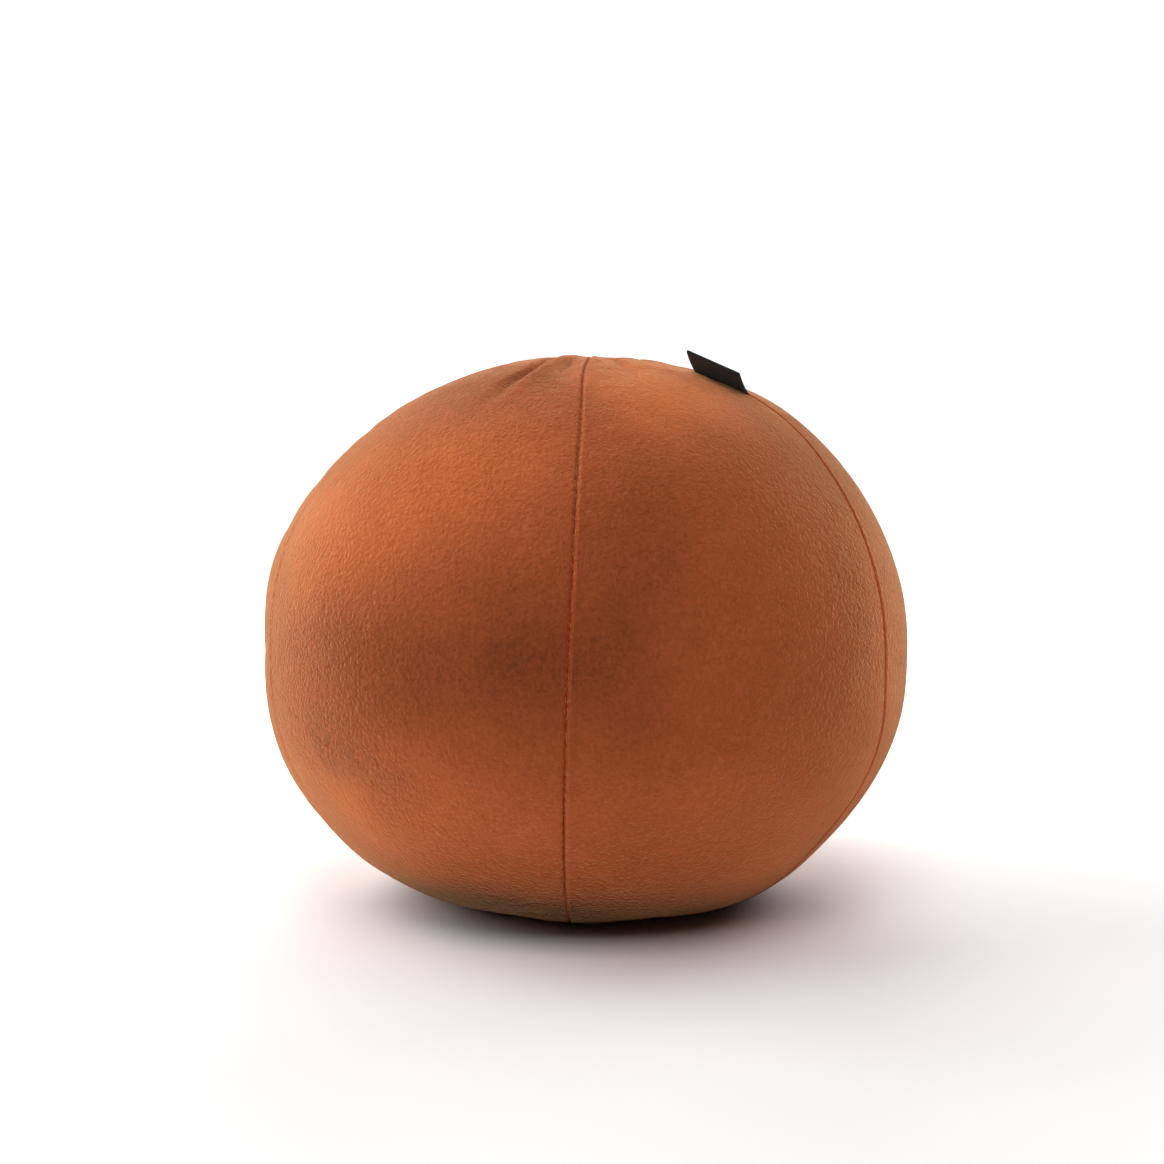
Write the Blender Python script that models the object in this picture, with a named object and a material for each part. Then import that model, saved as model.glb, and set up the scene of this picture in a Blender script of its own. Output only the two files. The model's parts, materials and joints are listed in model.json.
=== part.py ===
"""A ball cushion: six velvet panels sewn together pole to pole and filled, with a small
folded tab of woven tape caught in one seam. Metres, +Z up, resting on its flat spot at z = 0.
The front seam faces -Y, and azimuths count from there towards +X."""

import bpy
import numpy as np

# The ball, in metres and degrees
HALF_WIDTH = 0.150
CENTRE_HEIGHT = 0.1145
TILT_DEG = 1.3
LEAN_FROM = -0.030
TOP_LEAN = 0.0024

# The ball's outline: distance of the cloth from the ball's centre at each latitude
MERIDIAN = (
    ("latitude", "reach"),
    (-90, 0.1332),
    (-70, 0.1254),
    (-55, 0.1350),
    (-40, 0.1428),
    (-25, 0.1472),
    (-10, 0.1504),
    (0, 0.1502),
    (10, 0.1506),
    (25, 0.1496),
    (40, 0.1467),
    (55, 0.1433),
    (70, 0.1398),
    (90, 0.1376),
)

# The six seams: azimuth of each one at nine latitudes, as unevenly sewn as they are
SEAMS = (
    ("latitude", "front", "right", "right_back", "back", "left_back", "left"),
    (-90, -3.0, 55.5, 117.0, 176.0, 235.0, 293.5),
    (-35, -3.1, 55.6, 117.5, 176.5, 234.0, 294.0),
    (-20, -2.9, 60.0, 118.0, 176.0, 233.5, 294.0),
    (0, -2.6, 58.1, 117.0, 175.0, 234.0, 293.3),
    (20, -2.5, 57.3, 116.0, 175.5, 235.0, 290.9),
    (35, -2.7, 58.0, 116.5, 176.0, 235.0, 289.8),
    (48, -3.1, 60.2, 117.0, 176.5, 234.5, 290.5),
    (62, -4.3, 57.2, 118.0, 177.0, 235.0, 292.0),
    (90, -4.3, 57.6, 118.0, 177.0, 235.0, 293.0),
)
SEAM_DEPTH = 0.0013
SEAM_HALF_WIDTH = 0.0034
PANEL_CROWN = 0.0008

# Where the filling pushes out more or less than the even outline: place, spread and height
SWELLS = (
    ("latitude", "azimuth", "spread", "height"),
    (-50, 52, 13, 0.0016),
    (-33, 71, 10, -0.0012),
    (-57, 26, 9, -0.0008),
    (-57, -30, 9, -0.0008),
    (-57, 2, 9, 0.0008),
    (-22, -76, 9, 0.0013),
    (-4, -80, 11, -0.0010),
    (15, -80, 8, 0.0011),
    (40, -80, 13, -0.0011),
    (60, -76, 10, -0.0008),
    (54, 76, 10, 0.0008),
    (24, 80, 12, -0.0008),
)

# Where the six points meet, the seams pull the cloth in
POLE_DIP_DEPTH = 0.0050
POLE_DIP_RADIUS = 0.014

# Soft creases that run out from the top pole, each between two (latitude, azimuth) places
CREASES = (
    ("from_lat", "from_az", "to_lat", "to_az", "bow", "depth", "half_width", "ridge"),
    (76, -21, 44, -29, 0.0056, 0.0036, 0.0042, 0.45),
    (80, -13, 47, -12, 0.0000, 0.0012, 0.0050, 0.25),
    (80, 12, 54, 18, 0.0010, 0.0010, 0.0055, 0.20),
    (82, 38, 62, 40, 0.0000, 0.0010, 0.0050, 0.20),
    (82, 88, 58, 84, 0.0010, 0.0016, 0.0052, 0.30),
    (83, 147, 60, 150, 0.0000, 0.0014, 0.0050, 0.30),
    (82, 205, 57, 200, 0.0015, 0.0018, 0.0052, 0.35),
    (82, 262, 60, 266, 0.0000, 0.0014, 0.0050, 0.30),
)
CREASE_ARC_RADIUS = 0.140

# The mesh: rings of latitude, and columns at these shares of each panel's width
FLAT_SPOT_RINGS = (-78, -64)
RINGS_TO_EQUATOR = 11
RINGS_TO_SHOULDER = 8
RINGS_TO_POLE = 12
CONTACT_LATITUDE = -60
SHOULDER_LATITUDE = 46
LAST_RING_LATITUDE = 88.5
COLUMN_SHARES = (0.0, 0.02, 0.05, 0.12, 0.20, 0.29, 0.38, 0.46, 0.54, 0.62, 0.71, 0.80, 0.88, 0.95, 0.98)
PLEAT_COLUMN_SHARES = (0.575, 0.595, 0.640, 0.660, 0.685, 0.735)
PLEATED_PANEL = "left"

# The tab, sewn into the right seam and leaning over the front right panel
TAB_FROM_LATITUDE = 55.5
TAB_TO_LATITUDE = 67.7
TAB_LENGTH_OUT = 0.019
TAB_THICKNESS = 0.0012
TAB_ROOT_LIFT = 0.0013
TAB_LEAN_AT_ROOT_DEG = 17
TAB_LEAN_AT_EDGE_DEG = 34
TAB_CELLS_ALONG = 10
TAB_CELLS_OUT = 6

# Colours, red green blue
VELVET_COLOUR = (0.36, 0.10, 0.035)
VELVET_ROUGHNESS = 0.85
TAPE_COLOUR = (0.012, 0.012, 0.013)
TAPE_ROUGHNESS = 0.7


def clear_scene():
    """Removes the objects that the scene opens with."""
    for thing in list(bpy.data.objects):
        bpy.data.objects.remove(thing, do_unlink=True)


def column(table, name):
    """One named column of a table whose first row holds the names."""
    place = table[0].index(name)
    return np.array([row[place] for row in table[1:]], dtype=float)


def smooth_through(knots, values, at):
    """A cubic Hermite curve through the table, its slope at a knot the mean of those beside it."""
    gaps = np.diff(knots)
    steps = np.diff(values) / gaps
    slopes = np.concatenate([[0.0], (steps[1:] + steps[:-1]) / 2, [0.0]])
    span = np.clip(np.searchsorted(knots, at, side="right") - 1, 0, len(gaps) - 1)
    gap = gaps[span]
    t = np.clip((at - knots[span]) / gap, 0.0, 1.0)
    rise = 3 * t**2 - 2 * t**3
    return (
        values[span] * (1 - rise)
        + values[span + 1] * rise
        + slopes[span] * gap * t * (1 - t) ** 2
        - slopes[span + 1] * gap * t**2 * (1 - t)
    )


def seam_azimuth(name, latitude):
    """Azimuth in degrees of the named seam at these latitudes."""
    return smooth_through(column(SEAMS, "latitude"), column(SEAMS, name), latitude)


def arc_place(latitude, azimuth):
    """The place on a flat map round the top pole, in metres of arc: +x right, +y away from the front."""
    arc = np.radians(90 - latitude) * CREASE_ARC_RADIUS
    turn = np.radians(azimuth)
    return arc * np.sin(turn), -arc * np.cos(turn)


def crease_lift(latitude, azimuth):
    """Height that the creases add: each is a bell-shaped trough with a low ridge on its right side,
    deepest near its start and fading out at both ends."""
    x, y = arc_place(latitude, azimuth)
    lift = np.zeros(np.broadcast(latitude, azimuth).shape)
    rows = zip(*(column(CREASES, name) for name in CREASES[0]))
    for from_lat, from_az, to_lat, to_az, bow, depth, half_width, ridge in rows:
        x0, y0 = arc_place(from_lat, from_az)
        x1, y1 = arc_place(to_lat, to_az)
        length = np.hypot(x1 - x0, y1 - y0)
        along_x, along_y = (x1 - x0) / length, (y1 - y0) / length
        t = np.clip(((x - x0) * along_x + (y - y0) * along_y) / length, 0.0, 1.0)
        across = (y - y0) * along_x - (x - x0) * along_y - bow * 4 * t * (1 - t)
        fade = np.sin(np.pi * t**0.6) ** 2
        trough = np.exp(-((across / half_width) ** 2))
        hump = np.exp(-((across / half_width - 1.7) ** 2))
        lift += depth * fade * (ridge * hump - trough)
    return lift


def swell_lift(latitude, azimuth):
    """Height that the swells add: each is a bell round its place, by the angle between directions."""
    up = np.radians(latitude)
    turn = np.radians(azimuth)
    lift = np.zeros(np.broadcast(latitude, azimuth).shape)
    for place_lat, place_az, spread, height in zip(*(column(SWELLS, name) for name in SWELLS[0])):
        place_up = np.radians(place_lat)
        nearness = np.sin(up) * np.sin(place_up)
        nearness = nearness + np.cos(up) * np.cos(place_up) * np.cos(turn - np.radians(place_az))
        away = np.degrees(np.arccos(np.clip(nearness, -1.0, 1.0)))
        lift += height * np.exp(-((away / spread) ** 2))
    return lift


def panel_columns(name):
    """Shares of a panel's width at which the mesh has a column."""
    extra = PLEAT_COLUMN_SHARES if name == PLEATED_PANEL else ()
    return np.array(sorted(COLUMN_SHARES + extra))


def ball_rings():
    """Latitudes of the mesh's rings, closest where the top creases are."""
    lower = np.linspace(CONTACT_LATITUDE, 0, RINGS_TO_EQUATOR, endpoint=False)
    middle = np.linspace(0, SHOULDER_LATITUDE, RINGS_TO_SHOULDER, endpoint=False)
    upper = np.linspace(SHOULDER_LATITUDE, LAST_RING_LATITUDE, RINGS_TO_POLE)
    return np.concatenate([FLAT_SPOT_RINGS, lower, middle, upper])


def ball_surface(latitude, azimuth, share, panel_width):
    """Points of the cloth. The meridian's reach, drawn in by a groove at each seam and by the dip at
    both poles, crowned across each panel, swelled and creased, is turned about the ball's upright,
    tilted and leant to the right, and pressed flat where it meets the floor."""
    reach = smooth_through(column(MERIDIAN, "latitude"), column(MERIDIAN, "reach"), latitude)
    from_axis = reach * np.cos(np.radians(latitude))
    from_seam = np.minimum(share, 1 - share) * np.radians(panel_width) * from_axis
    groove_width = np.minimum(SEAM_HALF_WIDTH, from_axis * 0.12 + 1e-6)
    groove = SEAM_DEPTH * np.clip(1 - from_seam / groove_width, 0.0, 1.0) ** 1.5
    crown = PANEL_CROWN * np.sin(np.pi * share) ** 2 * np.cos(np.radians(latitude))
    dip = POLE_DIP_DEPTH * np.exp(-((from_axis / POLE_DIP_RADIUS) ** 2))
    reach = reach - groove + crown - dip
    reach = reach + crease_lift(latitude, azimuth) + swell_lift(latitude, azimuth)
    return settle(reach, latitude, azimuth)


def settle(reach, latitude, azimuth):
    """Stands the ball on the floor: tilted about Y, its upper part leant to +X, its underside flat."""
    up = np.radians(latitude)
    turn = np.radians(azimuth)
    x = reach * np.cos(up) * np.sin(turn)
    y = -reach * np.cos(up) * np.cos(turn)
    z = reach * np.sin(up)
    tilt = np.radians(TILT_DEG)
    x, z = x * np.cos(tilt) + z * np.sin(tilt), z * np.cos(tilt) - x * np.sin(tilt)
    rise = np.clip((z - LEAN_FROM) / (HALF_WIDTH - LEAN_FROM), 0.0, None)
    return np.stack([x + TOP_LEAN * rise**2, y, np.maximum(z + CENTRE_HEIGHT, 0.0)], axis=-1)


def ball_points():
    """The ring grid of the ball and its two poles, before it is centred over the origin."""
    rings = ball_rings()[:, None]
    names = SEAMS[0][1:]
    parts = []
    for name, following in zip(names, names[1:] + names[:1]):
        start = seam_azimuth(name, rings)
        width = (seam_azimuth(following, rings) - start) % 360
        share = panel_columns(name)[None, :]
        parts.append(ball_surface(rings, start + width * share, share, width))
    grid = np.concatenate(parts, axis=1)
    poles = [ball_surface(np.array([[end]]), 0.0, 0.0, 60.0).reshape(3) for end in (-90.0, 90.0)]
    return grid, poles


def ball_faces(ring_count, column_count):
    """Quads between neighbouring rings, and a fan of triangles at each pole."""
    index = np.arange(ring_count * column_count).reshape(ring_count, column_count)
    beside = np.roll(index, -1, axis=1)
    walls = np.stack([index[:-1], beside[:-1], beside[1:], index[1:]], axis=-1).reshape(-1, 4)
    south, north = ring_count * column_count, ring_count * column_count + 1
    bottom = [(south, int(b), int(a)) for a, b in zip(index[0], beside[0])]
    top = [(north, int(a), int(b)) for a, b in zip(index[-1], beside[-1])]
    return walls.tolist() + bottom + top


def centre_shift(points):
    """The sideways move that puts the middle of the ball's box over the origin."""
    middle = (points.reshape(-1, 3).min(axis=0) + points.reshape(-1, 3).max(axis=0)) / 2
    return np.array([-middle[0], -middle[1], 0.0])


def tab_points(shift):
    """Both sides of the tab: its root follows the seam, and its cloth runs out over the front right
    panel, rising a little more steeply towards the folded edge."""
    along = np.linspace(TAB_FROM_LATITUDE, TAB_TO_LATITUDE, TAB_CELLS_ALONG + 1)
    root = ball_surface(along, seam_azimuth("right", along), 0.0, 60.0) + shift
    seam_way = root[-1] - root[0]
    seam_way = seam_way / np.linalg.norm(seam_way)
    centre = np.array([0.0, 0.0, CENTRE_HEIGHT])
    outward = root.mean(axis=0) - centre
    outward = outward - seam_way * (outward @ seam_way)
    outward = outward / np.linalg.norm(outward)
    sideways = np.cross(seam_way, outward)
    sideways = sideways if sideways[1] < 0 else -sideways
    out = np.linspace(0.0, 1.0, TAB_CELLS_OUT + 1)
    lean = np.radians(TAB_LEAN_AT_ROOT_DEG + (TAB_LEAN_AT_EDGE_DEG - TAB_LEAN_AT_ROOT_DEG) * out)
    way = np.cos(lean)[:, None] * sideways + np.sin(lean)[:, None] * outward
    face = np.cos(lean)[:, None] * outward - np.sin(lean)[:, None] * sideways
    middle_way = (way[1:] + way[:-1]) / 2 * (TAB_LENGTH_OUT / TAB_CELLS_OUT)
    path = np.concatenate([np.zeros((1, 3)), np.cumsum(middle_way, axis=0)])
    middle = root[:, None, :] + outward * TAB_ROOT_LIFT + path[None, :, :]
    half = face[None, :, :] * TAB_THICKNESS / 2
    return middle + half, middle - half


def tab_faces(rows, columns):
    """Upper side, under side and the strip that closes the rim."""
    upper = np.arange(rows * columns).reshape(rows, columns)
    under = upper + rows * columns
    quads = np.stack([upper[:-1, :-1], upper[1:, :-1], upper[1:, 1:], upper[:-1, 1:]], axis=-1)
    faces = quads.reshape(-1, 4).tolist()
    faces += (quads + rows * columns).reshape(-1, 4)[:, ::-1].tolist()
    rim = np.concatenate([upper[0, :-1], upper[:-1, -1], upper[-1, :0:-1], upper[:0:-1, 0]])
    low = np.concatenate([under[0, :-1], under[:-1, -1], under[-1, :0:-1], under[:0:-1, 0]])
    for a, b, c, d in zip(rim, np.roll(rim, -1), np.roll(low, -1), low):
        faces.append((int(a), int(b), int(c), int(d)))
    return faces


def cloth_material(name, colour, roughness):
    """A plain cloth finish."""
    material = bpy.data.materials.new(name)
    material.use_nodes = True
    shader = material.node_tree.nodes["Principled BSDF"]
    shader.inputs["Base Color"].default_value = (*colour, 1.0)
    shader.inputs["Roughness"].default_value = roughness
    shader.inputs["Metallic"].default_value = 0.0
    return material


def add_piece(name, points, faces, material):
    """A smooth-shaded object from points and faces, its faces turned outwards."""
    mesh = bpy.data.meshes.new(name)
    mesh.from_pydata(points.reshape(-1, 3).tolist(), [], faces)
    mesh.validate()
    mesh.shade_smooth()
    mesh.materials.append(material)
    piece = bpy.data.objects.new(name, mesh)
    bpy.context.scene.collection.objects.link(piece)
    return piece


def add_ball(shift, grid, poles, material):
    """The filled ball of six panels, one closed solid."""
    rings, columns = grid.shape[:2]
    points = np.concatenate([grid.reshape(-1, 3), np.array(poles)]) + shift
    return add_piece("ball_cushion", points, ball_faces(rings, columns), material)


def add_tab(shift, material):
    """The folded tab, a thin curved plate that stands clear of the ball."""
    upper, under = tab_points(shift)
    rows, columns = upper.shape[:2]
    return add_piece("seam_tab", np.concatenate([upper, under]), tab_faces(rows, columns), material)


def main():
    """Builds the cushion in an empty scene."""
    clear_scene()
    grid, poles = ball_points()
    shift = centre_shift(grid)
    add_ball(shift, grid, poles, cloth_material("velvet", VELVET_COLOUR, VELVET_ROUGHNESS))
    add_tab(shift, cloth_material("woven_tape", TAPE_COLOUR, TAPE_ROUGHNESS))


main()
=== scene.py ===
"""The looks of a velvet ball cushion: six sewn velvet panels, the thread that shows in their seams
and a folded woven tab, on a pale studio sweep. Metres, +Z up, the front seam towards -Y."""

import json
import math

import bpy
import numpy as np
from bpy.props import FloatProperty, FloatVectorProperty, PointerProperty
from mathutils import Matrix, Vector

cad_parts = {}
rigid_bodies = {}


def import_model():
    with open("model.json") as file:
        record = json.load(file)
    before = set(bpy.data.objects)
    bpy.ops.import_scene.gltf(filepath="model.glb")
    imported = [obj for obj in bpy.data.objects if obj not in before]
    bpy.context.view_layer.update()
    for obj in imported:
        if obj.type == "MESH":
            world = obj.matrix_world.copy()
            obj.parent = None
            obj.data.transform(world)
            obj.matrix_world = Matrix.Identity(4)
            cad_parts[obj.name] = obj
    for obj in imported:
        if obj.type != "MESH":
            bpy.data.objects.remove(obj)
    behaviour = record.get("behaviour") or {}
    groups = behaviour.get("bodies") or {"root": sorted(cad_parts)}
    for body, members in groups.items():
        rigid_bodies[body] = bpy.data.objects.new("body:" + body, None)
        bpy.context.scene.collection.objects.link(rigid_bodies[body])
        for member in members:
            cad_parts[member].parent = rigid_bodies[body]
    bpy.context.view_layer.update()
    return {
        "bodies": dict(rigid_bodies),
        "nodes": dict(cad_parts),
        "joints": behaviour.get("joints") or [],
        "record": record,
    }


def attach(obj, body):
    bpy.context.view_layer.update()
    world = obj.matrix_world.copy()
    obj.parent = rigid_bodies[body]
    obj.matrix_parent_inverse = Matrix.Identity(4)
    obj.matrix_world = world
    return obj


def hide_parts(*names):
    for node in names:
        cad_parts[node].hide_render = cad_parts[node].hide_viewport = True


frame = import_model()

bl_info = {
    "name": "Velvet ball cushion",
    "version": (1, 0, 0),
    "blender": (4, 5, 0),
    "location": "View3D > Sidebar > Cushion",
    "description": "Builds a filled velvet ball cushion with its seams, thread and folded tab",
    "category": "Add Mesh",
}

BODY = "root"

# The ball, in metres and degrees. Its axis stands a little left of the box's middle.
HALF_WIDTH = 0.150
CENTRE = np.array([-0.0003303, 0.0000029, 0.1145])
TILT_DEG = 1.3
LEAN_FROM = -0.030
TOP_LEAN = 0.0024

# Distance of the cloth from the ball's centre at each latitude
MERIDIAN = (
    ("latitude", "reach"),
    (-90, 0.1332),
    (-70, 0.1254),
    (-55, 0.1350),
    (-40, 0.1428),
    (-25, 0.1472),
    (-10, 0.1504),
    (0, 0.1502),
    (10, 0.1506),
    (25, 0.1496),
    (40, 0.1467),
    (55, 0.1433),
    (70, 0.1398),
    (90, 0.1376),
)

# Azimuth of each seam, from the front towards +X, as unevenly sewn as they are
SEAMS = (
    ("latitude", "front", "right", "right_back", "back", "left_back", "left"),
    (-90, -3.0, 55.5, 117.0, 176.0, 235.0, 293.5),
    (-35, -3.1, 55.6, 117.5, 176.5, 234.0, 294.0),
    (-20, -2.9, 60.0, 118.0, 176.0, 233.5, 294.0),
    (0, -2.6, 58.1, 117.0, 175.0, 234.0, 293.3),
    (20, -2.5, 57.3, 116.0, 175.5, 235.0, 290.9),
    (35, -2.7, 58.0, 116.5, 176.0, 235.0, 289.8),
    (48, -3.1, 60.2, 117.0, 176.5, 234.5, 290.5),
    (62, -4.3, 57.2, 118.0, 177.0, 235.0, 292.0),
    (90, -4.3, 57.6, 118.0, 177.0, 235.0, 293.0),
)
SEAM_NAMES = SEAMS[0][1:]

# Where the filling pushes out more or less than the even outline
SWELLS = (
    ("latitude", "azimuth", "spread", "height"),
    (-50, 52, 13, 0.0016),
    (-33, 71, 10, -0.0012),
    (-57, 26, 9, -0.0008),
    (-57, -30, 9, -0.0008),
    (-57, 2, 9, 0.0008),
    (-22, -76, 9, 0.0013),
    (-4, -80, 11, -0.0010),
    (15, -80, 8, 0.0011),
    (40, -80, 13, -0.0011),
    (60, -76, 10, -0.0008),
    (54, 76, 10, 0.0008),
    (24, 80, 12, -0.0008),
)

# Soft creases that run out from the top pole
CREASES = (
    ("from_lat", "from_az", "to_lat", "to_az", "bow", "depth", "half_width", "ridge"),
    (80, -37, 42, -29, 0.0052, 0.0040, 0.0036, 0.50),
    (78, -17, 47, -15, 0.0040, 0.0011, 0.0048, 0.25),
    (78, 8, 52, 13, 0.0019, 0.0011, 0.0050, 0.25),
    (82, 38, 62, 40, 0.0000, 0.0010, 0.0050, 0.20),
    (82, 88, 58, 84, 0.0010, 0.0016, 0.0052, 0.30),
    (83, 147, 60, 150, 0.0000, 0.0014, 0.0050, 0.30),
    (82, 205, 57, 200, 0.0015, 0.0018, 0.0052, 0.35),
    (82, 262, 60, 266, 0.0000, 0.0014, 0.0050, 0.30),
)

# Sharper folds in and beside those creases
FOLDS = (
    ("from_lat", "from_az", "to_lat", "to_az", "bow", "depth", "half_width", "ridge"),
    (81, -39, 46, -30, 0.0052, 0.0034, 0.0013, 0.60),
    (76, -19, 52, -16, 0.0044, 0.0008, 0.0016, 0.35),
    (70, -51, 50, -34, 0.0005, 0.0007, 0.0018, 0.30),
    (76, 9, 56, 12, 0.0019, 0.0008, 0.0022, 0.60),
    (74, 60, 60, 66, 0.0010, 0.0006, 0.0024, 0.40),
    (76, 118, 58, 112, 0.0015, 0.0008, 0.0024, 0.40),
    (78, 176, 60, 180, 0.0010, 0.0007, 0.0024, 0.40),
    (74, 232, 56, 226, 0.0015, 0.0009, 0.0024, 0.40),
    (76, 294, 60, 300, 0.0010, 0.0006, 0.0024, 0.40),
)
CREASE_ARC_RADIUS = 0.140

# How tightly the seams are drawn in from bottom to top, as a share of the full depth
SEAM_PULL = (
    ("latitude", "pull"),
    (-90, 0.8),
    (-60, 0.8),
    (-35, 0.9),
    (-21, 1.0),
    (-11, 0.5),
    (0, 0.7),
    (16, 0.7),
    (35, 1.0),
    (49, 0.45),
    (60, 0.55),
    (75, 0.9),
    (90, 0.9),
)
POLE_DIP_DEPTH = 0.0050
POLE_DIP_RADIUS = 0.014

# The side without the allowance under it turns in over a shorter way, as a share of the other. The
# allowance's ridge stands this share of the half width from the seam. Near a pole no seam is wider
# than a share of the distance from the axis, and no pucker is full where a panel is narrow.
FREE_SIDE = 0.7
RIDGE_PLACE = 0.8
RIDGE_SPREAD = 0.3
POLE_SHARE = 0.12
FULL_PUCKER_WIDTH = 0.05

# The fine cloth grid: columns stand at these distances from a seam, then evenly
CONTACT_LATITUDE = -62.0
FLAT_RINGS = 14
LAST_LATITUDE = 89.3
RINGS_PER_STITCH = 2
WIDEST_PANEL = 0.157
COLUMNS_BY_SEAM = (0.0, 0.00016, 0.00034, 0.00056, 0.00085, 0.0012, 0.0017, 0.0025, 0.0037, 0.0054)
COLUMNS_BETWEEN = 36

# The coarse grid that the filling presses out
COARSE_FROM = -58.0
COARSE_TO = 84.0
COARSE_RINGS = 96
COARSE_COLUMNS = 20
PRESSING_FRAMES = 20
SMOOTHING_ROUNDS = 40


def table_column(table, name):
    """One named column of a table whose first row holds the names."""
    place = table[0].index(name)
    return np.array([row[place] for row in table[1:]], dtype=float)


def table_rows(table):
    """The rows of a table below its names, as floats."""
    return [tuple(float(cell) for cell in row) for row in table[1:]]


def smooth_through(knots, values, at):
    """A cubic Hermite curve through the table, its slope at a knot the mean of those beside it."""
    gaps = np.diff(knots)
    steps = np.diff(values) / gaps
    slopes = np.concatenate([[0.0], (steps[1:] + steps[:-1]) / 2, [0.0]])
    span = np.clip(np.searchsorted(knots, at, side="right") - 1, 0, len(gaps) - 1)
    gap = gaps[span]
    t = np.clip((at - knots[span]) / gap, 0.0, 1.0)
    rise = 3 * t**2 - 2 * t**3
    return (
        values[span] * (1 - rise)
        + values[span + 1] * rise
        + slopes[span] * gap * t * (1 - t) ** 2
        - slopes[span + 1] * gap * t**2 * (1 - t)
    )


def seam_azimuth(name, latitude):
    """Azimuth in degrees of the named seam at these latitudes."""
    return smooth_through(table_column(SEAMS, "latitude"), table_column(SEAMS, name), latitude)


def arc_place(latitude, azimuth):
    """A place on a flat map round the top pole: arc from the pole, turned by the azimuth."""
    arc = np.radians(90 - latitude) * CREASE_ARC_RADIUS
    turn = np.radians(azimuth)
    return arc * np.sin(turn), -arc * np.cos(turn)


def crease_sum(latitude, azimuth, table, dark, light):
    """Sum over the creases of a table: a bell-shaped trough with a low ridge on its right, across a
    bowed line, strongest near its start and fading out at both ends. The trough counts as dark and
    the ridge as light, each times the crease's own depth."""
    x, y = arc_place(latitude, azimuth)
    total = np.zeros(np.broadcast(latitude, azimuth).shape)
    for from_lat, from_az, to_lat, to_az, bow, depth, half_width, ridge in table_rows(table):
        x0, y0 = arc_place(from_lat, from_az)
        x1, y1 = arc_place(to_lat, to_az)
        length = np.hypot(x1 - x0, y1 - y0)
        along_x, along_y = (x1 - x0) / length, (y1 - y0) / length
        t = np.clip(((x - x0) * along_x + (y - y0) * along_y) / length, 0.0, 1.0)
        across = (y - y0) * along_x - (x - x0) * along_y - bow * 4 * t * (1 - t)
        fade = np.sin(np.pi * t**0.6) ** 2
        trough = np.exp(-((across / half_width) ** 2))
        hump = np.exp(-((across / half_width - 1.7) ** 2))
        total += depth * fade * (light * ridge * hump - dark * trough)
    return total


def away_from(latitude, azimuth, place_latitude, place_azimuth):
    """Angle in degrees between each direction and one place's direction."""
    up, place_up = np.radians(latitude), np.radians(place_latitude)
    turn = np.radians(azimuth) - np.radians(place_azimuth)
    nearness = np.sin(up) * np.sin(place_up) + np.cos(up) * np.cos(place_up) * np.cos(turn)
    return np.degrees(np.arccos(np.clip(nearness, -1.0, 1.0)))


def swell_lift(latitude, azimuth):
    """Sum of the swells: a bell round each place."""
    lift = np.zeros(np.broadcast(latitude, azimuth).shape)
    for place_latitude, place_azimuth, spread, height in table_rows(SWELLS):
        away = away_from(latitude, azimuth, place_latitude, place_azimuth)
        lift += height * np.exp(-((away / spread) ** 2))
    return lift


def settle(reach, latitude, azimuth):
    """Turns reach, latitude and azimuth into points: tilted about Y, the upper part leant to +X by
    the square of its height, and everything below the floor raised to it."""
    up, turn, tilt = np.radians(latitude), np.radians(azimuth), math.radians(TILT_DEG)
    x = reach * np.cos(up) * np.sin(turn)
    y = -reach * np.cos(up) * np.cos(turn)
    z = reach * np.sin(up)
    x, z = x * math.cos(tilt) + z * math.sin(tilt), z * math.cos(tilt) - x * math.sin(tilt)
    rise = np.clip((z - LEAN_FROM) / (HALF_WIDTH - LEAN_FROM), 0.0, None)
    x = x + TOP_LEAN * rise**2 + CENTRE[0]
    return np.stack([x, y + CENTRE[1], np.maximum(z + CENTRE[2], 0.0)], axis=-1)


def pull_by_latitude():
    """Latitudes of the table of pulls, and the pull at each."""
    return table_column(SEAM_PULL, "latitude"), table_column(SEAM_PULL, "pull")


def ball_reach(latitude, azimuth, from_seam, share, sizes):
    """Distance from the centre: the meridian, drawn in by the seam's groove and the poles' dip,
    crowned across the panel, swelled and creased. The seam allowance lies under the panel that
    starts at the seam, and lifts its edge a little."""
    reach = smooth_through(table_column(MERIDIAN, "latitude"), table_column(MERIDIAN, "reach"), latitude)
    pull = smooth_through(*pull_by_latitude(), latitude)
    from_axis = reach * np.cos(np.radians(latitude))
    half_width = np.where(share < 0.5, sizes.seam_half_width, FREE_SIDE * sizes.seam_half_width)
    width = np.minimum(half_width, from_axis * POLE_SHARE + 1e-6)
    groove = sizes.seam_depth * np.clip(1 - from_seam / width, 0.0, 1.0) ** 2
    fold = sizes.fold_depth * pull * np.exp(-((from_seam / sizes.fold_half_width) ** 2))
    from_ridge = from_seam / sizes.seam_half_width - RIDGE_PLACE
    ridge = (share < 0.5) * np.exp(-(from_ridge**2) / RIDGE_SPREAD) * np.clip(from_seam / width, 0.0, 1.0)
    fold = fold - sizes.allowance_lift * ridge
    crown = sizes.panel_crown * np.sin(np.pi * share) ** 2 * np.cos(np.radians(latitude))
    dip = POLE_DIP_DEPTH * np.exp(-((from_axis / POLE_DIP_RADIUS) ** 2))
    lift = swell_lift(latitude, azimuth)
    for table in (CREASES, FOLDS):
        lift = lift + crease_sum(latitude, azimuth, table, 1.0, 1.0)
    return reach - groove - fold + crown - dip + lift


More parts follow.
